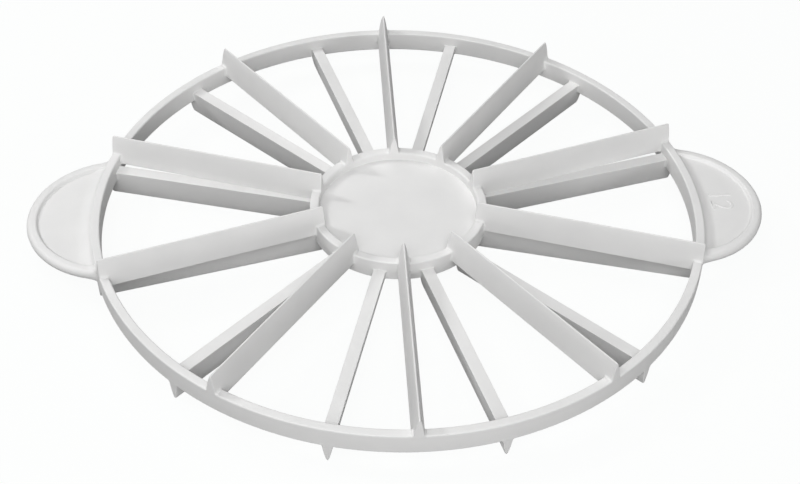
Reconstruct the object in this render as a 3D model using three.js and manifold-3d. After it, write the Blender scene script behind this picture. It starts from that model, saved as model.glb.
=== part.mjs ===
// Double-sided cake marker, moulded in white plastic.
// A flat rim and a recessed hub carry two sets of wedge blades that press portion lines into a round cake.
// Ten blades point up and twelve point down, so turning the marker over changes the number of portions.
// Lengths are millimetres. The origin lies on the centre line, level with the lower cutting edges.
// +Z is up and +X runs along the handles.

import * as THREE from 'three';
import { mergeVertices } from 'three/addons/utils/BufferGeometryUtils.js';
import loadManifold from 'manifold-3d';

// Rim
const RIM_OUTER_RADIUS = 135;
const RIM_WALL = 4.2;
const RIM_HEIGHT = 9.6;
const RIM_EDGE_ROUNDING = 0.7;

// Hub
const HUB_OUTER_RADIUS = 39.4;
const HUB_WALL = 4.4;
const HUB_HEIGHT = 9.6;
const HUB_EDGE_ROUNDING = 0.7;
const WEB_THICKNESS = 2;
const WEB_FILLET = 0.8;

// Blades
const UPPER_BLADE_COUNT = 10;
const LOWER_BLADE_COUNT = 12;
const BLADE_HEIGHT = 13.35;
const BLADE_BACK_WIDTH = 5.4;
const BLADE_SHOULDER_WIDTH = 3;
const BLADE_SHOULDER_DEPTH = 3.2;
const BLADE_EDGE_RADIUS = 0.4;
const BLADE_CORNER_ROUNDING = 0.8;

// Handles
const HANDLE_RADIUS = 38;
const HANDLE_REACH = 28.3;
const HANDLE_THICKNESS = 2;
const HANDLE_ROOT_FILLET = 3;
const BEAD_HEIGHT = 5;
const BEAD_FOOT_WIDTH = 4.9;
const BEAD_CROWN_WIDTH = 3.6;
const BEAD_OUTER_ROUNDING = 1.7;
const BEAD_INNER_ROUNDING = 0.8;

// Moulding draft on the walls of the rim and the hub, in degrees
const WALL_DRAFT = 1.5;

// Clearances between neighbouring solids
const PARTING_GAP = 0.3;
const SEAT_CLEARANCE = 0.3;

// Fineness of the round forms
const RIM_SEGMENTS = 96;
const HUB_SEGMENTS = 48;
const HANDLE_SEGMENTS = 48;
const CURVE_STEPS = 2;
const BLADE_CURVE_STEPS = 6;

// Colour and surface of the plastic
const PLASTIC_COLOUR = 0xf1f2f1;
const PLASTIC_ROUGHNESS = 0.42;

// How far a cutting shape runs past the stock
const CUT_MARGIN = 1;

// Radii and levels that follow from the sizes above
const RIM_INNER_RADIUS = RIM_OUTER_RADIUS - RIM_WALL;
const HUB_INNER_RADIUS = HUB_OUTER_RADIUS - HUB_WALL;
const WEB_LEDGE_RADIUS = HUB_INNER_RADIUS - WEB_FILLET;
const HANDLE_CENTRE = RIM_OUTER_RADIUS + HANDLE_REACH - HANDLE_RADIUS;
const PARTING_LEVEL = BLADE_HEIGHT + PARTING_GAP / 2;

const wasm = await loadManifold();
wasm.setup();

// Closed solid for joining and cutting, with shared vertices merged and empty triangles dropped.
function toSolid(geometry) {
  const bare = geometry.clone();
  bare.deleteAttribute('normal');
  bare.deleteAttribute('uv');
  const merged = mergeVertices(bare);
  const corners = merged.index.array;
  const triangles = [];
  for (let i = 0; i < corners.length; i += 3) {
    const [a, b, c] = corners.slice(i, i + 3);
    if (a !== b && b !== c && c !== a) {
      triangles.push(a, b, c);
    }
  }
  return new wasm.Manifold(new wasm.Mesh({
    numProp: 3,
    vertProperties: merged.attributes.position.array,
    triVerts: new Uint32Array(triangles),
  }));
}

// Geometry of a joined or cut solid.
function toGeometry(solid) {
  const { vertProperties, triVerts, numProp } = solid.getMesh();
  const geometry = new THREE.BufferGeometry();
  geometry.setAttribute('position', new THREE.BufferAttribute(vertProperties, numProp));
  geometry.setIndex(new THREE.BufferAttribute(triVerts, 1));
  geometry.computeVertexNormals();
  return geometry;
}

// Closed outline through corners [across, up, rounding]. A rounding takes up at most half a side.
function easedOutline(corners) {
  const points = corners.map(([across, up]) => new THREE.Vector2(across, up));
  const outline = new THREE.Shape();
  points.forEach((corner, i) => {
    const before = points.at(i - 1);
    const after = points[(i + 1) % points.length];
    const sideBefore = corner.distanceTo(before);
    const sideAfter = corner.distanceTo(after);
    const rounding = Math.min(corners[i][2], sideBefore / 2, sideAfter / 2);
    const start = corner.clone().lerp(before, rounding / sideBefore);
    const end = corner.clone().lerp(after, rounding / sideAfter);
    if (i === 0) {
      outline.moveTo(start.x, start.y);
    } else {
      outline.lineTo(start.x, start.y);
    }
    if (rounding > 0) {
      outline.quadraticCurveTo(corner.x, corner.y, end.x, end.y);
    }
  });
  outline.closePath();
  return outline;
}

// Solid of revolution about Z. The outline is drawn as radius across and height up, counter-clockwise.
function revolve(outline, segments) {
  return new THREE.LatheGeometry(outline.getPoints(CURVE_STEPS), segments).rotateX(Math.PI / 2);
}

// Upright cylinder that reaches past the top and bottom of the rim.
function tallCylinder(radius, segments) {
  const height = RIM_HEIGHT + 2 * CUT_MARGIN;
  return new THREE.CylinderGeometry(radius, radius, height, segments).rotateX(Math.PI / 2);
}

// How far a drafted wall leans in over half its height.
function draftOver(height) {
  return (height / 2) * Math.tan(THREE.MathUtils.degToRad(WALL_DRAFT));
}

// Band of the rim: widest at the parting plane, leaning in to both faces.
function rimGeometry() {
  const top = RIM_HEIGHT / 2;
  const lean = draftOver(RIM_HEIGHT);
  const outline = easedOutline([
    [RIM_OUTER_RADIUS, 0, 0],
    [RIM_OUTER_RADIUS - lean, top, RIM_EDGE_ROUNDING],
    [RIM_INNER_RADIUS + lean, top, RIM_EDGE_ROUNDING],
    [RIM_INNER_RADIUS, 0, 0],
    [RIM_INNER_RADIUS + lean, -top, RIM_EDGE_ROUNDING],
    [RIM_OUTER_RADIUS - lean, -top, RIM_EDGE_ROUNDING],
  ]);
  return revolve(outline, RIM_SEGMENTS);
}

// Collar of the hub with a filleted ledge half way up, where the web carries on.
function hubRingGeometry() {
  const top = HUB_HEIGHT / 2;
  const lean = draftOver(HUB_HEIGHT);
  const web = WEB_THICKNESS / 2;
  const outline = easedOutline([
    [HUB_OUTER_RADIUS, 0, 0],
    [HUB_OUTER_RADIUS - lean, top, HUB_EDGE_ROUNDING],
    [HUB_INNER_RADIUS + lean, top, HUB_EDGE_ROUNDING],
    [HUB_INNER_RADIUS, web, WEB_FILLET],
    [WEB_LEDGE_RADIUS, web, 0],
    [WEB_LEDGE_RADIUS, -web, 0],
    [HUB_INNER_RADIUS, -web, WEB_FILLET],
    [HUB_INNER_RADIUS + lean, -top, HUB_EDGE_ROUNDING],
    [HUB_OUTER_RADIUS - lean, -top, HUB_EDGE_ROUNDING],
  ]);
  return revolve(outline, HUB_SEGMENTS);
}

// Thin disc that closes the hub.
function hubWebGeometry() {
  const radius = WEB_LEDGE_RADIUS - SEAT_CLEARANCE;
  return new THREE.CylinderGeometry(radius, radius, WEB_THICKNESS, HUB_SEGMENTS).rotateX(Math.PI / 2);
}

// Section of a blade: a flat back and two bellied sides that close in to a rounded cutting edge.
function bladeSection() {
  const halfBack = BLADE_BACK_WIDTH / 2;
  const halfShoulder = BLADE_SHOULDER_WIDTH / 2;
  const shoulderLevel = BLADE_HEIGHT - BLADE_SHOULDER_DEPTH;
  const edgeLevel = BLADE_HEIGHT - BLADE_EDGE_RADIUS;
  const section = new THREE.Shape();
  section.moveTo(-halfBack, 0);
  section.lineTo(halfBack, 0);
  section.quadraticCurveTo(halfShoulder, shoulderLevel, BLADE_EDGE_RADIUS, edgeLevel);
  section.absarc(0, edgeLevel, BLADE_EDGE_RADIUS, 0, Math.PI);
  section.quadraticCurveTo(-halfShoulder, shoulderLevel, -halfBack, 0);
  return section;
}

// Side view of a blade: it butts on the hub and the rim and steps over both, flush with their far faces.
function bladeSideView() {
  const hubButt = HUB_OUTER_RADIUS + SEAT_CLEARANCE;
  const rimButt = RIM_INNER_RADIUS - SEAT_CLEARANCE;
  const hubSeat = (HUB_HEIGHT - PARTING_GAP) / 2 + SEAT_CLEARANCE;
  const rimSeat = (RIM_HEIGHT - PARTING_GAP) / 2 + SEAT_CLEARANCE;
  return easedOutline([
    [hubButt, 0, 0],
    [rimButt, 0, 0],
    [rimButt, rimSeat, 0],
    [RIM_OUTER_RADIUS, rimSeat, 0],
    [RIM_OUTER_RADIUS, BLADE_HEIGHT, BLADE_CORNER_ROUNDING],
    [HUB_INNER_RADIUS, BLADE_HEIGHT, BLADE_CORNER_ROUNDING],
    [HUB_INNER_RADIUS, hubSeat, 0],
    [hubButt, hubSeat, 0],
  ]);
}

// Wedge blade along +X with its flat back on the XY plane and its cutting edge up.
function bladeGeometry() {
  const across = new THREE.Vector3(0, 1, 0);
  const upright = new THREE.Vector3(0, 0, 1);
  const along = new THREE.Vector3(1, 0, 0);
  const bar = new THREE.ExtrudeGeometry(bladeSection(), {
    depth: RIM_OUTER_RADIUS + CUT_MARGIN,
    curveSegments: BLADE_CURVE_STEPS,
    bevelEnabled: false,
  });
  bar.applyMatrix4(new THREE.Matrix4().makeBasis(across, upright, along));
  const plateWidth = BLADE_BACK_WIDTH + 2 * CUT_MARGIN;
  const plate = new THREE.ExtrudeGeometry(bladeSideView(), {
    depth: plateWidth,
    curveSegments: CURVE_STEPS,
    bevelEnabled: false,
  });
  plate.rotateX(Math.PI / 2).translate(0, plateWidth / 2, 0);
  return toGeometry(toSolid(bar).intersect(toSolid(plate)));
}

// Round disc of a handle with a bead round its edge.
function handleDiscOutline() {
  const plate = HANDLE_THICKNESS / 2;
  const crown = BEAD_HEIGHT / 2;
  const foot = HANDLE_RADIUS - BEAD_FOOT_WIDTH;
  const crownStart = HANDLE_RADIUS - BEAD_CROWN_WIDTH;
  return easedOutline([
    [0, -plate, 0],
    [foot, -plate, BEAD_INNER_ROUNDING],
    [crownStart, -crown, BEAD_INNER_ROUNDING],
    [HANDLE_RADIUS, -crown, BEAD_OUTER_ROUNDING],
    [HANDLE_RADIUS, crown, BEAD_OUTER_ROUNDING],
    [crownStart, crown, BEAD_INNER_ROUNDING],
    [foot, plate, BEAD_INNER_ROUNDING],
    [0, plate, 0],
  ]);
}

// Fillet between the plate of a handle and the wall of the rim, on both faces of the plate.
function handleRootOutline() {
  const plate = HANDLE_THICKNESS / 2;
  const wall = RIM_OUTER_RADIUS + SEAT_CLEARANCE;
  const roomOnWall = RIM_HEIGHT / 2 - RIM_EDGE_ROUNDING - plate;
  const fillet = Math.min(HANDLE_ROOT_FILLET, roomOnWall);
  const foot = wall + fillet;
  const outline = new THREE.Shape();
  outline.moveTo(RIM_INNER_RADIUS, -plate - fillet);
  outline.lineTo(wall, -plate - fillet);
  outline.absarc(foot, -plate - fillet, fillet, Math.PI, Math.PI / 2, true);
  outline.lineTo(foot, plate);
  outline.absarc(foot, plate + fillet, fillet, -Math.PI / 2, -Math.PI, true);
  outline.lineTo(RIM_INNER_RADIUS, plate + fillet);
  outline.closePath();
  return outline;
}

// Half-round handle on +X: the beaded disc and its root, cut back to the outer wall of the rim.
function handleGeometry() {
  const disc = toSolid(revolve(handleDiscOutline(), HANDLE_SEGMENTS).translate(HANDLE_CENTRE, 0, 0));
  const rootLimit = tallCylinder(HANDLE_RADIUS - BEAD_OUTER_ROUNDING, HANDLE_SEGMENTS);
  const root = toSolid(revolve(handleRootOutline(), RIM_SEGMENTS))
    .intersect(toSolid(rootLimit.translate(HANDLE_CENTRE, 0, 0)));
  const rimSpace = toSolid(tallCylinder(RIM_OUTER_RADIUS + SEAT_CLEARANCE, RIM_SEGMENTS));
  return toGeometry(disc.add(root).subtract(rimSpace));
}

// Named sub-part in the white plastic.
function plasticPart(name, geometry) {
  const plastic = new THREE.MeshStandardMaterial({
    color: PLASTIC_COLOUR,
    roughness: PLASTIC_ROUGHNESS,
    metalness: 0,
  });
  const part = new THREE.Mesh(geometry, plastic);
  part.name = name;
  return part;
}

// Ring of evenly spaced blades with their backs just above the parting plane.
function bladeSet(name, count, firstTurn) {
  const set = new THREE.Group();
  const blade = bladeGeometry();
  for (let i = 0; i < count; i += 1) {
    const number = String(i + 1).padStart(2, '0');
    const part = plasticPart(`${name}_${number}`, blade);
    part.position.z = PARTING_GAP / 2;
    part.rotation.z = firstTurn - (i * 2 * Math.PI) / count;
    set.add(part);
  }
  return set;
}

// The upper set starts with a blade square to the handles. The lower set starts half a pitch on from
// there and is turned over about the line of the handles.
function cakeMarker() {
  const marker = new THREE.Group();
  marker.position.z = PARTING_LEVEL;
  marker.add(plasticPart('rim', rimGeometry()));
  marker.add(plasticPart('hub_ring', hubRingGeometry()));
  marker.add(plasticPart('hub_web', hubWebGeometry()));
  const handle = handleGeometry();
  const rightHandle = plasticPart('handle_right', handle);
  const leftHandle = plasticPart('handle_left', handle);
  leftHandle.rotation.z = Math.PI;
  marker.add(rightHandle, leftHandle);
  const upperBlades = bladeSet('upper_blade', UPPER_BLADE_COUNT, Math.PI / 2);
  const lowerBlades = bladeSet('lower_blade', LOWER_BLADE_COUNT, Math.PI / 2 - Math.PI / LOWER_BLADE_COUNT);
  lowerBlades.rotation.x = Math.PI;
  marker.add(upperBlades, lowerBlades);
  return marker;
}

export default cakeMarker();
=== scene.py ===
# %% [markdown]
# # Double-sided cake marker
# The real marker is one white plastic moulding. A round rim and a dished hub carry ten wedge blades on
# one face and twelve on the other, and two beaded tabs stand out as handles. Pressed into icing, one
# face marks ten portions and the other marks twelve.
#
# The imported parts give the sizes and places. This lesson models the same pieces again with the soft
# edges, the fillets and the surface of a moulding, and lights and frames them like the photograph.

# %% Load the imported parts
import math

import bmesh
import bpy
from mathutils import Matrix, Vector


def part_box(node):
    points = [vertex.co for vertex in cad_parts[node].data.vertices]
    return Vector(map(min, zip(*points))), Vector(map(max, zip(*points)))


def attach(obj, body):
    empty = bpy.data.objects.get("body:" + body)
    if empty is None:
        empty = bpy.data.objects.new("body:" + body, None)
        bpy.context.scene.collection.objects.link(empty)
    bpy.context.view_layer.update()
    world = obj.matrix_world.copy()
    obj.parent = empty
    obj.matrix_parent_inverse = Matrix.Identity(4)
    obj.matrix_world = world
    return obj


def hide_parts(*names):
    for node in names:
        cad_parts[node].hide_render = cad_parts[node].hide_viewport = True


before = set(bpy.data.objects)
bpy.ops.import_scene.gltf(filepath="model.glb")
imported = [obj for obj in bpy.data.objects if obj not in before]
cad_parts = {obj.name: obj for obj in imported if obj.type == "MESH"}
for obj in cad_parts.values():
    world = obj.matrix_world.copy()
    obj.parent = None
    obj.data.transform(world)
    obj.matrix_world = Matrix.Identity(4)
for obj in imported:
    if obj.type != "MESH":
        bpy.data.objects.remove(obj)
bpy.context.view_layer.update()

# %% [markdown]
# ## Camera
# The photograph looks down at the marker from the front at about 42 degrees, with a slight tilt.
# A Track To constraint could aim the camera, but it would lose the tilt. Here the camera's own three
# axes are written from the azimuth, the elevation and the roll, so no helper object is needed.

# %% Camera
MM = 0.001

CAMERA_AZIMUTH = math.radians(-4.35)
CAMERA_ELEVATION = math.radians(42.32)
CAMERA_ROLL = math.radians(1.42)
CAMERA_DISTANCE = 631.0 * MM
CAMERA_TARGET = Vector((-1.98, -40.37, 31.68)) * MM
CAMERA_LENS = 68.0


def direction(azimuth, elevation):
    """Unit vector that points from the object to a viewer. Azimuth 0 is the front, -Y."""
    flat = math.cos(elevation)
    return Vector((math.sin(azimuth) * flat, -math.cos(azimuth) * flat, math.sin(elevation)))


def camera_turn():
    """Rotation whose columns are the camera's right, up and back."""
    back = direction(CAMERA_AZIMUTH, CAMERA_ELEVATION)
    level = Vector((math.cos(CAMERA_AZIMUTH), math.sin(CAMERA_AZIMUTH), 0))
    upright = back.cross(level)
    right = level * math.cos(CAMERA_ROLL) + upright * math.sin(CAMERA_ROLL)
    return Matrix((right, back.cross(right), back)).transposed()


camera = bpy.data.objects.new("camera", bpy.data.cameras.new("camera"))
camera.data.lens = CAMERA_LENS
camera_place = CAMERA_TARGET + CAMERA_DISTANCE * direction(CAMERA_AZIMUTH, CAMERA_ELEVATION)
camera.matrix_world = Matrix.Translation(camera_place) @ camera_turn().to_4x4()
bpy.context.scene.collection.objects.link(camera)
bpy.context.scene.camera = camera
print("camera at", list(camera_place))

# %% [markdown]
# ## Shader nodes
# Every finish below is a small node tree. Nodes can be placed one by one, but a helper that adds a node
# with its settings and its inputs keeps each finish readable. An input is either a plain value or the
# output socket of another node.

# %% Helpers for shader nodes


def add_node(tree, kind, inputs=None, **settings):
    """Add a node, set its settings, and fill or link its inputs by name or number."""
    node = tree.nodes.new(kind)
    for key, value in settings.items():
        setattr(node, key, value)
    for key, value in (inputs or {}).items():
        if isinstance(value, bpy.types.NodeSocket):
            tree.links.new(value, node.inputs[key])
        else:
            node.inputs[key].default_value = value
    return node


def empty_tree(owner):
    """Turn on nodes for a material or a world and clear them."""
    owner.use_nodes = True
    owner.node_tree.nodes.clear()
    return owner.node_tree


def mixed(tree, share, first, second):
    """Two shaders mixed by the share of the second."""
    return add_node(tree, "ShaderNodeMixShader", {0: share, 1: first.outputs[0], 2: second.outputs[0]})


print("shader helpers ready")

# %% [markdown]
# ## White ground
# The photograph has a white ground with almost no shadow, and yet the walls that lean down are dark grey.
# A white emitting floor alone would lose the shadow and light those walls from below. So rays that see
# the floor directly get a mix of white and of the lit floor, and the light that it bounces is darker.

# %% White for the rays that see it
GROUND_WHITE = (0.992, 1.0, 0.996, 1)
WHITE_STRENGTH = 1.0


def seen_directly(tree):
    """Socket that is 1 for camera, mirror and glass rays, which see the white background."""
    path = add_node(tree, "ShaderNodeLightPath").outputs
    shiny = add_node(
        tree, "ShaderNodeMath", {0: path["Is Glossy Ray"], 1: path["Is Transmission Ray"]},
        operation="MAXIMUM",
    )
    either = add_node(
        tree, "ShaderNodeMath", {0: path["Is Camera Ray"], 1: shiny.outputs[0]}, operation="MAXIMUM"
    )
    return either.outputs[0]


print("ground colour:", GROUND_WHITE[:3])

# %% Floor
FLOOR_HALF = 4.0
FLOOR_COLOUR = (0.80, 0.80, 0.80, 1)
FLOOR_BOUNCE = (0.22, 0.22, 0.22, 1)
FLOOR_WHITE_SHARE = 0.95

floor_finish = bpy.data.materials.new("studio_floor")
tree = empty_tree(floor_finish)
bounce = add_node(tree, "ShaderNodeBsdfDiffuse", {"Color": FLOOR_BOUNCE})
lit = add_node(tree, "ShaderNodeBsdfDiffuse", {"Color": FLOOR_COLOUR})
white = add_node(tree, "ShaderNodeEmission", {"Color": GROUND_WHITE, "Strength": WHITE_STRENGTH})
shown = mixed(tree, FLOOR_WHITE_SHARE, lit, white)
ground = mixed(tree, seen_directly(tree), bounce, shown)
add_node(tree, "ShaderNodeOutputMaterial", {"Surface": ground.outputs[0]})

floor_sheet = bmesh.new()
bmesh.ops.create_grid(floor_sheet, x_segments=1, y_segments=1, size=FLOOR_HALF)
floor_mesh = bpy.data.meshes.new("floor")
floor_sheet.to_mesh(floor_mesh)
floor_sheet.free()
floor_mesh.materials.append(floor_finish)
floor = bpy.data.objects.new("floor", floor_mesh)
bpy.context.scene.collection.objects.link(floor)
print("floor", 2 * FLOOR_HALF, "m square")

# %% [markdown]
# ## Studio light
# The lamps follow what the photograph shows. A small one at the left throws the short shadows into the
# hub, large ones behind and in front light the flat faces and the sides, and a low one at the right
# reaches under the blades. An image of a studio could do all this, but lamps can be read and changed.

# %% World
WORLD_COLOUR = (0.97, 0.99, 1.0, 1)
WORLD_STRENGTH = 0.02

world = bpy.data.worlds.new("studio")
tree = empty_tree(world)
fill = add_node(tree, "ShaderNodeBackground", {"Color": WORLD_COLOUR, "Strength": WORLD_STRENGTH})
white = add_node(tree, "ShaderNodeBackground", {"Color": GROUND_WHITE, "Strength": WHITE_STRENGTH})
backdrop = mixed(tree, seen_directly(tree), fill, white)
add_node(tree, "ShaderNodeOutputWorld", {"Surface": backdrop.outputs[0]})
bpy.context.scene.world = world
bpy.context.scene.view_settings.view_transform = "Standard"
print("world:", world.name)

# %% Lamps


def soft_lamp(name, azimuth, elevation, distance, size, power):
    """Square area lamp that faces the middle of the object. Degrees, metres and watts."""
    lamp = bpy.data.objects.new(name, bpy.data.lights.new(name, "AREA"))
    lamp.data.size = size
    lamp.data.energy = power
    toward = direction(math.radians(azimuth), math.radians(elevation))
    lamp.location = toward * distance
    lamp.rotation_euler = toward.to_track_quat("Z", "Y").to_euler()
    bpy.context.scene.collection.objects.link(lamp)


soft_lamp("key_lamp", azimuth=-112, elevation=38, distance=1.5, size=0.2, power=5.8)
soft_lamp("back_lamp", azimuth=-155, elevation=58, distance=1.3, size=0.9, power=6.0)
soft_lamp("high_front_lamp", azimuth=0, elevation=52, distance=1.8, size=1.0, power=15.6)
soft_lamp("front_lamp", azimuth=-20, elevation=30, distance=1.3, size=1.0, power=5.8)
soft_lamp("low_right_lamp", azimuth=42, elevation=12, distance=1.8, size=0.45, power=5.5)

# %% [markdown]
# ## White plastic
# The marker is moulded in a white plastic with a satin skin: slightly cloudy, a little rougher in
# patches, and with a very fine grain from the mould. One flat white would look like paper. Noise in
# Object coordinates gives the clouds, the patches and the grain without any image.
#
# The lamps light a flat face at a plain level, so the white is written as the tone that such a face has
# in the photograph. Hardly anything mirrors in the skin there, so its sheen is low.

# %% Noise for the finishes
NOISE_LOW = 0.35
NOISE_HIGH = 0.65


def noise(tree, place, size, detail=2.0):
    """Socket of a noise whose features are about one size across, in metres."""
    texture = add_node(tree, "ShaderNodeTexNoise", {"Vector": place, "Scale": 1 / size, "Detail": detail})
    return texture.outputs["Fac"]


def spread(tree, value, low, high):
    """Stretch the middle of a noise, where most of it lies, over a range of numbers."""
    stretch = add_node(
        tree, "ShaderNodeMapRange",
        {"Value": value, "From Min": NOISE_LOW, "From Max": NOISE_HIGH, "To Min": low, "To Max": high},
    )
    return stretch.outputs["Result"]


print("noise is stretched from", NOISE_LOW, "to", NOISE_HIGH)

# %% Satin white plastic
PLASTIC_LIGHT = (0.752, 0.750, 0.745, 1)
PLASTIC_DARK = (0.734, 0.732, 0.728, 1)
PLASTIC_IOR = 1.49
PLASTIC_SHEEN = 0.25
CLOUD_SIZE = 14 * MM
PATCH_SIZE = 3 * MM
GRAIN_SIZE = 0.35 * MM
GRAIN_DEPTH = 0.004 * MM
SATIN_ROUGHNESS = (0.56, 0.68)


def plastic_colour(tree, place):
    """Cloudy white between two close tones."""
    clouds = noise(tree, place, CLOUD_SIZE)
    tones = add_node(tree, "ShaderNodeValToRGB", {"Fac": spread(tree, clouds, 0, 1)})
    tones.color_ramp.elements[0].color = PLASTIC_DARK
    tones.color_ramp.elements[1].color = PLASTIC_LIGHT
    return tones.outputs["Color"]


def plastic_skin(tree, place, grain, depth, roughness):
    """Fill a tree with white plastic whose skin has a grain and patches of more and less gloss."""
    patches = noise(tree, place, PATCH_SIZE)
    bump = add_node(tree, "ShaderNodeBump", {"Height": grain, "Strength": 1.0, "Distance": depth})
    plastic = add_node(
        tree, "ShaderNodeBsdfPrincipled",
        {
            "Base Color": plastic_colour(tree, place),
            "Roughness": spread(tree, patches, *roughness),
            "IOR": PLASTIC_IOR,
            "Specular IOR Level": PLASTIC_SHEEN,
            "Normal": bump.outputs["Normal"],
        },
    )
    add_node(tree, "ShaderNodeOutputMaterial", {"Surface": plastic.outputs[0]})


satin_white = bpy.data.materials.new("satin_white_plastic")
tree = empty_tree(satin_white)
place = add_node(tree, "ShaderNodeTexCoord").outputs["Object"]
grain = noise(tree, place, GRAIN_SIZE, detail=1.0)
plastic_skin(tree, place, grain, GRAIN_DEPTH, SATIN_ROUGHNESS)
print("finish:", satin_white.name)

# %% [markdown]
# ## Rounded rings
# The rim, the hub and the tabs are round, so each is a section turned about an axis. A torus or a
# cylinder would have to be cut to shape, while a spin starts from the true section. The section has
# sharp corners, and the bevel operator rounds the ring that each corner leaves. Points that lie closer
# together than SAME_PLACE count as one.

# %% Helpers for turned pieces
TURN_STEPS = 288
ROUND_STEPS = 5
SAME_PLACE = 0.002 * MM

rim_low, rim_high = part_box("rim")
MIDDLE = (rim_low.z + rim_high.z) / 2


def mirrored_section(upper_half):
    """Section that goes on below the middle as the mirror image of its upper half."""
    lower_half = [(reach, -level) for reach, level in reversed(upper_half) if level > 0]
    return upper_half + lower_half


def turned(section, axis_x=0.0, steps=TURN_STEPS):
    """Closed shape from a section of points (distance from the axis, level above the middle)."""
    shape = bmesh.new()
    corners = [shape.verts.new((axis_x + reach, 0, MIDDLE + level)) for reach, level in section]
    for start, end in zip(corners, corners[1:]):
        shape.edges.new((start, end))
    bmesh.ops.spin(
        shape, geom=shape.verts[:] + shape.edges[:], cent=(axis_x, 0, 0), axis=(0, 0, 1),
        angle=math.tau, steps=steps, use_merge=True,
    )
    bmesh.ops.remove_doubles(shape, verts=shape.verts, dist=SAME_PLACE)
    bmesh.ops.recalc_face_normals(shape, faces=shape.faces)
    return shape


def round_ring(shape, reach, level, rounding, axis_x=0.0):
    """Bevel the ring that a corner of the section left, above and below the middle."""

    def on_ring(vert):
        away = math.hypot(vert.co.x - axis_x, vert.co.y) - reach
        above = abs(vert.co.z - MIDDLE) - level
        return abs(away) < SAME_PLACE and abs(above) < SAME_PLACE

    def runs_round(edge):
        start, end = edge.verts
        return on_ring(start) and on_ring(end) and abs(start.co.z - end.co.z) < SAME_PLACE

    ring = [edge for edge in shape.edges if runs_round(edge)]
    bmesh.ops.bevel(
        shape, geom=ring, offset=rounding, offset_type="OFFSET", affect="EDGES",
        segments=ROUND_STEPS, profile=0.5, material=-1,
    )


print("middle level", MIDDLE)

# %% [markdown]
# ## Finished pieces
# Every shape ends the same way: it becomes a mesh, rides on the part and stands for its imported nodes.
# Flat shading would show the facets of the roundings, and smooth shading alone would bend the light
# over the flat faces beside them. So a Weighted Normal modifier lets the large faces set the normals.

# %% Helper for finished pieces


def finished(name, shape, finishes, *nodes):
    """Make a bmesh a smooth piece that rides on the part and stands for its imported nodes."""
    mesh = bpy.data.meshes.new(name)
    shape.to_mesh(mesh)
    shape.free()
    mesh.shade_smooth()
    for finish in finishes:
        mesh.materials.append(finish)
    piece = bpy.data.objects.new(name, mesh)
    bpy.context.scene.collection.objects.link(piece)
    even = piece.modifiers.new("even_shading", "WEIGHTED_NORMAL")
    even.keep_sharp = True
    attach(piece, "root")
    if nodes:
        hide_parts(*nodes)
    print(name, len(mesh.polygons), "faces")


# %% [markdown]
# ## Rim
# The rim is a plain band with a slight mould draft on both walls and soft edges. It could be a curve
# with a bevel profile, but a spun section keeps the draft and gives an even mesh.

# %% Rim
WALL_DRAFT = math.radians(1.5)
RIM_RADIUS = rim_high.x
RIM_TOP = rim_high.z - MIDDLE
RIM_WALL = 4.2 * MM
RIM_ROUNDING = 0.7 * MM

wall_lean = math.tan(WALL_DRAFT)
rim_lean = RIM_TOP * wall_lean
rim_outer_edge = RIM_RADIUS - rim_lean
rim_inner = RIM_RADIUS - RIM_WALL
rim_inner_edge = rim_inner + rim_lean
rim_section = mirrored_section(
    [(RIM_RADIUS, 0), (rim_outer_edge, RIM_TOP), (rim_inner_edge, RIM_TOP), (rim_inner, 0)]
)
rim_shape = turned(rim_section + rim_section[:1])
for edge_reach in (rim_outer_edge, rim_inner_edge):
    round_ring(rim_shape, edge_reach, RIM_TOP, RIM_ROUNDING)
finished("rim_band", rim_shape, [satin_white], "rim")

# %% [markdown]
# ## Hub
# The hub is a dish on both faces: a round wall with a thin web half way up. Two pieces would leave a
# seam at the foot of the wall, so the wall and the web are one turned section here. The foot of the
# wall gets a small fillet by the same bevel that rounds the top edges.

# %% Hub
hub_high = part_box("hub_ring")[1]
HUB_RADIUS = hub_high.x
HUB_TOP = hub_high.z - MIDDLE
HUB_WALL = 4.4 * MM
HUB_OUTER_ROUNDING = 0.7 * MM
HUB_INNER_ROUNDING = 1.0 * MM
WEB_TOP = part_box("hub_web")[1].z - MIDDLE
WEB_FILLET = 0.25 * MM
WEB_RINGS = 6

hub_lean = HUB_TOP * wall_lean
hub_outer_edge = HUB_RADIUS - hub_lean
hub_inner = HUB_RADIUS - HUB_WALL
hub_inner_edge = hub_inner + hub_lean
web_section = [(hub_inner * ring / WEB_RINGS, WEB_TOP) for ring in range(WEB_RINGS + 1)]
hub_section = mirrored_section(
    web_section + [(hub_inner_edge, HUB_TOP), (hub_outer_edge, HUB_TOP), (HUB_RADIUS, 0)]
)
hub_shape = turned(hub_section)
round_ring(hub_shape, hub_inner, WEB_TOP, WEB_FILLET)
round_ring(hub_shape, hub_inner_edge, HUB_TOP, HUB_INNER_ROUNDING)
round_ring(hub_shape, hub_outer_edge, HUB_TOP, HUB_OUTER_ROUNDING)
finished("hub_dish", hub_shape, [satin_white], "hub_ring", "hub_web")

# %% [markdown]
# ## Fillets as a formula
# Where a tab or a blade grows out of a wall, the moulding has a round inner corner. A bevel can't round
# the corner between two separate pieces. A formula can: a surface is pushed out the closer it comes to
# the wall, along a quarter circle, so that it meets the wall as a fillet does.

# %% Fillet formula


def fillet(gap, size):
    """How far a surface is pushed out at a gap from a wall, for a round inner corner of one size."""
    if gap >= size:
        return 0.0
    return size - math.sqrt(size**2 - (size - max(gap, 0.0)) ** 2)


print("fillet of 3 at gap 1:", fillet(1.0, 3.0))

# %% [markdown]
# ## Disc of a handle tab
# Each tab is a thin half-round plate with a bead round its edge, so that it can be held from either
# face. The bead could be a bevelled curve on a plate, but that leaves a seam. Turned as one section,
# plate and bead are a whole disc first. Its plate has narrow rings, which can be bent later.

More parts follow.
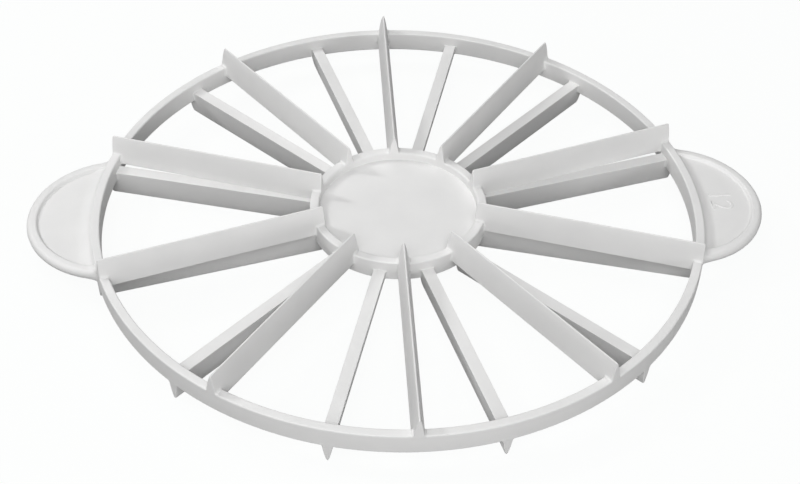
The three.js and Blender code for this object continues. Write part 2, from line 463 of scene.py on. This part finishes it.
# %% Disc of a handle tab
TAB_RADIUS = 38 * MM
TAB_PLATE_TOP = 1.0 * MM
TAB_RING_STEP = 0.5 * MM
TAB_TURN_STEPS = 360
BEAD_TOP = 2.5 * MM
BEAD_FOOT = 5.1 * MM
BEAD_CROWN = 4.3 * MM
BEAD_OUTER_ROUNDING = 2.4 * MM
BEAD_INNER_ROUNDING = 0.5 * MM
BEAD_MARGIN = 0.75 * MM

tab_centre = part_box("handle_right")[1].x - TAB_RADIUS


def tab_disc():
    """Whole round disc of a tab with its bead. No ring lies within a margin of the bead's foot."""
    foot = TAB_RADIUS - BEAD_FOOT
    crown = TAB_RADIUS - BEAD_CROWN
    flat = foot - BEAD_MARGIN
    rings = round(flat / TAB_RING_STEP)
    plate = [(flat * ring / rings, TAB_PLATE_TOP) for ring in range(rings + 1)]
    bead = [(foot, TAB_PLATE_TOP), (crown, BEAD_TOP), (TAB_RADIUS, BEAD_TOP)]
    disc = turned(mirrored_section(plate + bead), tab_centre, TAB_TURN_STEPS)
    round_ring(disc, foot, TAB_PLATE_TOP, BEAD_INNER_ROUNDING, tab_centre)
    round_ring(disc, crown, BEAD_TOP, BEAD_INNER_ROUNDING, tab_centre)
    round_ring(disc, TAB_RADIUS, BEAD_TOP, BEAD_OUTER_ROUNDING, tab_centre)
    return disc


whole_disc = tab_disc()
print("tab disc:", len(whole_disc.faces), "faces")

# %% [markdown]
# ## Handle tabs
# The moulding has only the part of the disc outside the rim. A bisect cuts along a plane, but the rim is
# round. So a Boolean takes a round core away, and the cut lies inside the wall of the rim, where it can't
# be seen. The fillet formula then sweeps the plate up to the wall in a long round corner.

# %% Cut inside the rim
CUT_DEPTH = 2.0 * MM
CORE_HEIGHT = 4 * RIM_TOP


def object_of(name, shape):
    """Plain object for a Boolean."""
    mesh = bpy.data.meshes.new(name)
    shape.to_mesh(mesh)
    shape.free()
    item = bpy.data.objects.new(name, mesh)
    bpy.context.scene.collection.objects.link(item)
    return item


def cut_inside_rim(disc):
    """The part of a disc that lies outside a cylinder within the wall of the rim."""
    core = bmesh.new()
    bmesh.ops.create_cone(
        core, cap_ends=True, segments=TURN_STEPS, depth=CORE_HEIGHT,
        radius1=RIM_RADIUS - CUT_DEPTH, radius2=RIM_RADIUS - CUT_DEPTH,
        matrix=Matrix.Translation((0, 0, MIDDLE)),
    )
    stock = object_of("tab_stock", disc)
    cutter = object_of("rim_core", core)
    cut = stock.modifiers.new("cut", "BOOLEAN")
    cut.operation = "DIFFERENCE"
    cut.solver = "EXACT"
    cut.object = cutter
    result = bmesh.new()
    result.from_object(stock, bpy.context.evaluated_depsgraph_get())
    for item in (stock, cutter):
        bpy.data.meshes.remove(item.data)
    return result


right_tab = cut_inside_rim(whole_disc)
print("tab outside the cut:", len(right_tab.faces), "faces")

# %% Sweep to the rim
TAB_FILLET = 3.0 * MM
TAB_FILLET_STRETCH = 2.0


def sweep_to_rim(tab):
    """Lift the faces of a tab to meet the outer wall of the rim, below its rounded edges."""
    tab.normal_update()
    for vert in tab.verts:
        gap = math.hypot(vert.co.x, vert.co.y) - RIM_RADIUS
        room = RIM_TOP - RIM_ROUNDING - abs(vert.co.z - MIDDLE)
        vert.co.z += vert.normal.z * fillet(gap / TAB_FILLET_STRETCH, min(TAB_FILLET, room))


sweep_to_rim(right_tab)
left_tab = right_tab.copy()
half_turn = Matrix.Rotation(math.pi, 3, "Z")
bmesh.ops.rotate(left_tab, verts=left_tab.verts, cent=(0, 0, 0), matrix=half_turn)
finished("handle_tab_right", right_tab, [satin_white], "handle_right")
finished("handle_tab_left", left_tab, [satin_white], "handle_left")

# %% [markdown]
# ## Section of a blade
# A blade is a bar with a flat back, two bellied sides and a narrow round edge. A cube with bevels can't
# give the bellied sides. A formula can: at each level above the back, half the width lies on one
# quadratic curve, which starts at the back, bends at the shoulder and ends at the circle of the edge.

# %% Section of a blade
BLADE_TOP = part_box("upper_blade_01")[1].z - MIDDLE
BACK_HALF = 2.7 * MM
BACK_ROUNDING = 0.3 * MM
SHOULDER_HALF = 1.5 * MM
SHOULDER_DEPTH = 3.2 * MM
EDGE_RADIUS = 0.4 * MM
LEAST_HALF = 0.05 * MM

shoulder_level = BLADE_TOP - SHOULDER_DEPTH
edge_level = BLADE_TOP - EDGE_RADIUS


def half_width(level):
    """Half the width of the blade's section at a level above its back."""
    # The edge keeps a hair of width, so that the two sides never meet in one line.
    if level > edge_level:
        return math.sqrt(max(EDGE_RADIUS**2 - (level - edge_level) ** 2, LEAST_HALF**2))
    # The share of the curve that lies below this level solves a quadratic equation.
    bend = edge_level - 2 * shoulder_level
    along = level / (shoulder_level + math.sqrt(shoulder_level**2 + bend * level))
    ahead = 1 - along
    belly = ahead**2 * BACK_HALF + 2 * along * ahead * SHOULDER_HALF + along**2 * EDGE_RADIUS
    return belly - fillet(level, BACK_ROUNDING)


print("half width at the back and half way up:", half_width(0.0), half_width(BLADE_TOP / 2))

# %% [markdown]
# ## Grid of a blade
# The blade butts on the walls of the hub and the rim and steps over both, so its side view is a strip
# with a notch at each end. It could be drawn as one outline, but the fillets need points to bend. So a
# flat grid gives the side view: its columns are close where the blade curves and wide apart between,
# and the faces in the notches are deleted. The ends run on a little inside the walls.

# %% Stations and levels of the grid
END_ROUNDING = 0.25 * MM
CORNER_ROUNDING = 0.8 * MM
BLADE_FILLET = 0.9 * MM
NEAR_WALL = 1.35 * MM
OFF_WALL = 4.05 * MM
WALL_BITE = 1.5 * MM
NOTCH_LEVEL = 3.2 * MM

hub_notch = HUB_RADIUS - WALL_BITE
rim_notch = rim_inner + WALL_BITE


def stepped(*marks):
    """Places through marks (place, equal steps to the next mark)."""
    places = []
    for (start, steps), (end, _) in zip(marks, marks[1:]):
        places += [start + (end - start) * step / steps for step in range(steps)]
    return places + [marks[-1][0]]


stations = stepped(
    (hub_inner, 3), (hub_inner + END_ROUNDING, 3), (hub_inner + CORNER_ROUNDING, 4), (hub_notch, 3),
    (HUB_RADIUS, 10), (HUB_RADIUS + NEAR_WALL, 2), (HUB_RADIUS + OFF_WALL, 8),
    (rim_inner - OFF_WALL, 2), (rim_inner - NEAR_WALL, 10), (rim_inner, 3), (rim_notch, 4),
    (RIM_RADIUS - CORNER_ROUNDING, 3), (RIM_RADIUS - END_ROUNDING, 3), (RIM_RADIUS, 0),
)
levels = stepped(
    (0.0, 3), (BACK_ROUNDING, 3), (NOTCH_LEVEL, 2), (HUB_TOP, 7), (RIM_TOP + BLADE_FILLET, 6),
    (shoulder_level, 5), (edge_level, 4), (BLADE_TOP, 0),
)
print("blade grid:", len(stations), "stations and", len(levels), "levels")

# %% Grid of a blade


def blade_sheet():
    """Grid over the side view of a blade, without the notches where the walls are."""
    sheet = bmesh.new()
    columns = len(stations) - 1
    rows = len(levels) - 1
    bmesh.ops.create_grid(sheet, x_segments=columns, y_segments=rows, size=1.0)
    for vert in sheet.verts:
        column = round((vert.co.x + 1) / 2 * columns)
        row = round((vert.co.y + 1) / 2 * rows)
        vert.co = (stations[column], 0, levels[row])
    hidden = []
    for face in sheet.faces:
        middle = face.calc_center_median()
        outside = middle.x < hub_notch or middle.x > rim_notch
        if outside and middle.z < NOTCH_LEVEL:
            hidden.append(face)
    bmesh.ops.delete(sheet, geom=hidden, context="FACES")
    return sheet


master_blade = blade_sheet()
print("side view of a blade:", len(master_blade.faces), "faces")

# %% [markdown]
# ## Shape of a blade
# The sheet is extruded into two sides. Solidify would give it one thickness all over. Here each side is
# set off by half the width of the section, and every point asks how near it is to the walls, which adds
# the fillets there, and how near it is to the ends, which rounds their corners.

# %% Point on a blade
BACK_FILLET = 0.15 * MM
CORNER_FADE = 4
LEAST_END_SHARE = 1 / 3
PROUD = 0.02 * MM
OVERLAP = 0.05 * MM


def gap_to_ring(reach, level, outer, wall, top, outer_rounding, inner_rounding):
    """Distance from a point to the rounded section of a ring, below zero inside it."""
    rounding = outer_rounding if reach > outer - wall / 2 else inner_rounding
    half = wall / 2 - min(abs(level), top) * wall_lean
    across = abs(reach - outer + wall / 2) - half + rounding
    above = abs(level) - top + rounding
    return math.hypot(max(across, 0), max(above, 0)) + min(max(across, above), 0) - rounding


def placed_on_blade(reach, level, side):
    """Point on one side of a blade that lies along +X with its back on the middle plane."""
    half = half_width(level)
    # The sides lie a little farther from the axis than the middle of the blade does.
    true_reach = math.hypot(reach, half + BLADE_FILLET / 2)
    rim_gap = gap_to_ring(true_reach, level, RIM_RADIUS, RIM_WALL, RIM_TOP, RIM_ROUNDING, RIM_ROUNDING)
    hub_gap = gap_to_ring(
        true_reach, level, HUB_RADIUS, HUB_WALL, HUB_TOP, HUB_OUTER_ROUNDING, HUB_INNER_ROUNDING
    )
    half += fillet(rim_gap, BLADE_FILLET) + fillet(hub_gap, BLADE_FILLET)
    # The ends narrow and the upper corners drop, most at the cutting edge.
    end_gap = min(reach - hub_inner, RIM_RADIUS - reach)
    half = max(half - fillet(end_gap, END_ROUNDING), half * LEAST_END_SHARE)
    height = level - fillet(end_gap, CORNER_ROUNDING) * (level / BLADE_TOP) ** CORNER_FADE
    # The backs pass the middle plane a little, so that crossing blades leave no slit.
    if level <= BACK_ROUNDING:
        at_walls = fillet(rim_inner - reach, BACK_FILLET) + fillet(reach - HUB_RADIUS, BACK_FILLET)
        height -= OVERLAP + at_walls
    # The ends follow the draft of the walls and stand just proud of them.
    lean = height * wall_lean - PROUD
    if reach > rim_notch:
        reach -= lean
    elif reach < hub_notch:
        reach += lean
    return Vector((reach, side * half, height))


print("back of a blade at mid length:", list(placed_on_blade((hub_inner + RIM_RADIUS) / 2, 0.0, 1)))

# %% Two sides of a blade
near_side = master_blade.verts[:]
far_side = [
    item for item in bmesh.ops.extrude_face_region(master_blade, geom=master_blade.faces[:])["geom"]
    if isinstance(item, bmesh.types.BMVert)
]
for side, verts in ((-1, near_side), (1, far_side)):
    for vert in verts:
        vert.co = placed_on_blade(vert.co.x, vert.co.z, side)
bmesh.ops.recalc_face_normals(master_blade, faces=master_blade.faces)
print("blade:", len(master_blade.faces), "faces")

# %% [markdown]
# ## Streaked backs
# The flat backs lie on the parting plane of the mould, and polishing left fine streaks along them. Object
# coordinates run the same way for every blade, so streaks would lie across most of them. A UV map that
# follows the blade keeps the streaks along its length, wherever the blade is turned.

# %% Map along a blade
BLADE_MAP = "along_blade"
BACK_FACING = -0.7

blade_map = master_blade.loops.layers.uv.new(BLADE_MAP)
for face in master_blade.faces:
    face.material_index = 1 if face.normal.z < BACK_FACING else 0
    for loop in face.loops:
        loop[blade_map].uv = (loop.vert.co.x, loop.vert.co.y + loop.vert.co.z)
print("back:", sum(face.material_index for face in master_blade.faces), "faces")

# %% Finish of the backs
STREAK_LENGTH = 12 * MM
STREAK_WIDTH = 0.35 * MM
STREAK_DEPTH = 0.012 * MM
STREAKED_ROUGHNESS = (0.58, 0.70)

streaked_white = bpy.data.materials.new("streaked_white_plastic")
tree = empty_tree(streaked_white)
place = add_node(tree, "ShaderNodeTexCoord").outputs["Object"]
on_blade = add_node(tree, "ShaderNodeUVMap", uv_map=BLADE_MAP).outputs["UV"]
drawn_out = (STREAK_WIDTH / STREAK_LENGTH, 1, 1)
stretched = add_node(tree, "ShaderNodeMapping", {"Vector": on_blade, "Scale": drawn_out})
streaks = noise(tree, stretched.outputs["Vector"], STREAK_WIDTH, detail=1.0)
plastic_skin(tree, place, streaks, STREAK_DEPTH, STREAKED_ROUGHNESS)
print("finish:", streaked_white.name)

# %% [markdown]
# ## Two sets of blades
# Ten blades stand on the middle plane with their edges up, and twelve hang from it with their edges down.
# An Array modifier could repeat a blade round the hub, but every blade is a piece with its own name. So a
# loop copies the one mesh, turns it and lifts it to its place.

# %% Two sets of blades
UPPER_COUNT = sum(name.startswith("upper_blade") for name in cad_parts)
LOWER_COUNT = sum(name.startswith("lower_blade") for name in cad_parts)
QUARTER_TURN = math.pi / 2


def set_blade(name, node, turn):
    """Copy of the blade, turned to its place and lifted to the middle plane."""
    blade = master_blade.copy()
    lifted = Matrix.Translation((0, 0, MIDDLE)) @ turn
    bmesh.ops.transform(blade, matrix=lifted, verts=blade.verts)
    finished(name, blade, [satin_white, streaked_white], node)


# The first upper blade points to the back, and the others follow clockwise.
for number in range(1, UPPER_COUNT + 1):
    angle = QUARTER_TURN - (number - 1) * math.tau / UPPER_COUNT
    set_blade(f"upper_wedge_{number:02d}", f"upper_blade_{number:02d}", Matrix.Rotation(angle, 4, "Z"))

# The lower blades go the other way from the front, and the first lies half a step off it.
edge_down = Matrix.Rotation(math.pi, 4, "X")
for number in range(1, LOWER_COUNT + 1):
    angle = (number - 1 / 2) * math.tau / LOWER_COUNT - QUARTER_TURN
    turn = Matrix.Rotation(angle, 4, "Z") @ edge_down
    set_blade(f"lower_wedge_{number:02d}", f"lower_blade_{number:02d}", turn)

master_blade.free()

# %% [markdown]
# ## Portion number
# The right tab says how many portions the other face marks, in small raised figures. They could be cut
# from curves by hand, but a text object has them ready, with a soft edge. It becomes a mesh before it is
# put in its place, so that its object stays at the origin.

# %% Figures as a mesh
NUMBER_TEXT = "12"
NUMBER_SIZE = 14.2 * MM
NUMBER_RAISE = 0.02 * MM
NUMBER_SOFTNESS = 0.2 * MM
NUMBER_SOFT_STEPS = 2
NUMBER_THINNING = -0.2 * MM

figures = bpy.data.curves.new("portion_figures", "FONT")
figures.body = NUMBER_TEXT
figures.size = NUMBER_SIZE
figures.extrude = NUMBER_RAISE
figures.bevel_depth = NUMBER_SOFTNESS
figures.bevel_resolution = NUMBER_SOFT_STEPS
figures.offset = NUMBER_THINNING
figures.align_x = "CENTER"
figures.align_y = "CENTER"
text = bpy.data.objects.new("portion_figures", figures)
bpy.context.scene.collection.objects.link(text)
evaluated_text = text.evaluated_get(bpy.context.evaluated_depsgraph_get())
figure_mesh = bpy.data.meshes.new_from_object(evaluated_text)
bpy.data.curves.remove(figures)
print("figures:", len(figure_mesh.polygons), "faces")

# %% Portion number
NUMBER_PLACE = Vector((145.2 * MM, 0.8 * MM, MIDDLE + TAB_PLATE_TOP))

number_shape = bmesh.new()
number_shape.from_mesh(figure_mesh)
bpy.data.meshes.remove(figure_mesh)
bmesh.ops.remove_doubles(number_shape, verts=number_shape.verts, dist=SAME_PLACE)
top_to_tip = Matrix.Rotation(-QUARTER_TURN, 4, "Z")
on_tab = Matrix.Translation(NUMBER_PLACE) @ top_to_tip
bmesh.ops.transform(number_shape, matrix=on_tab, verts=number_shape.verts)
finished("portion_number", number_shape, [satin_white])
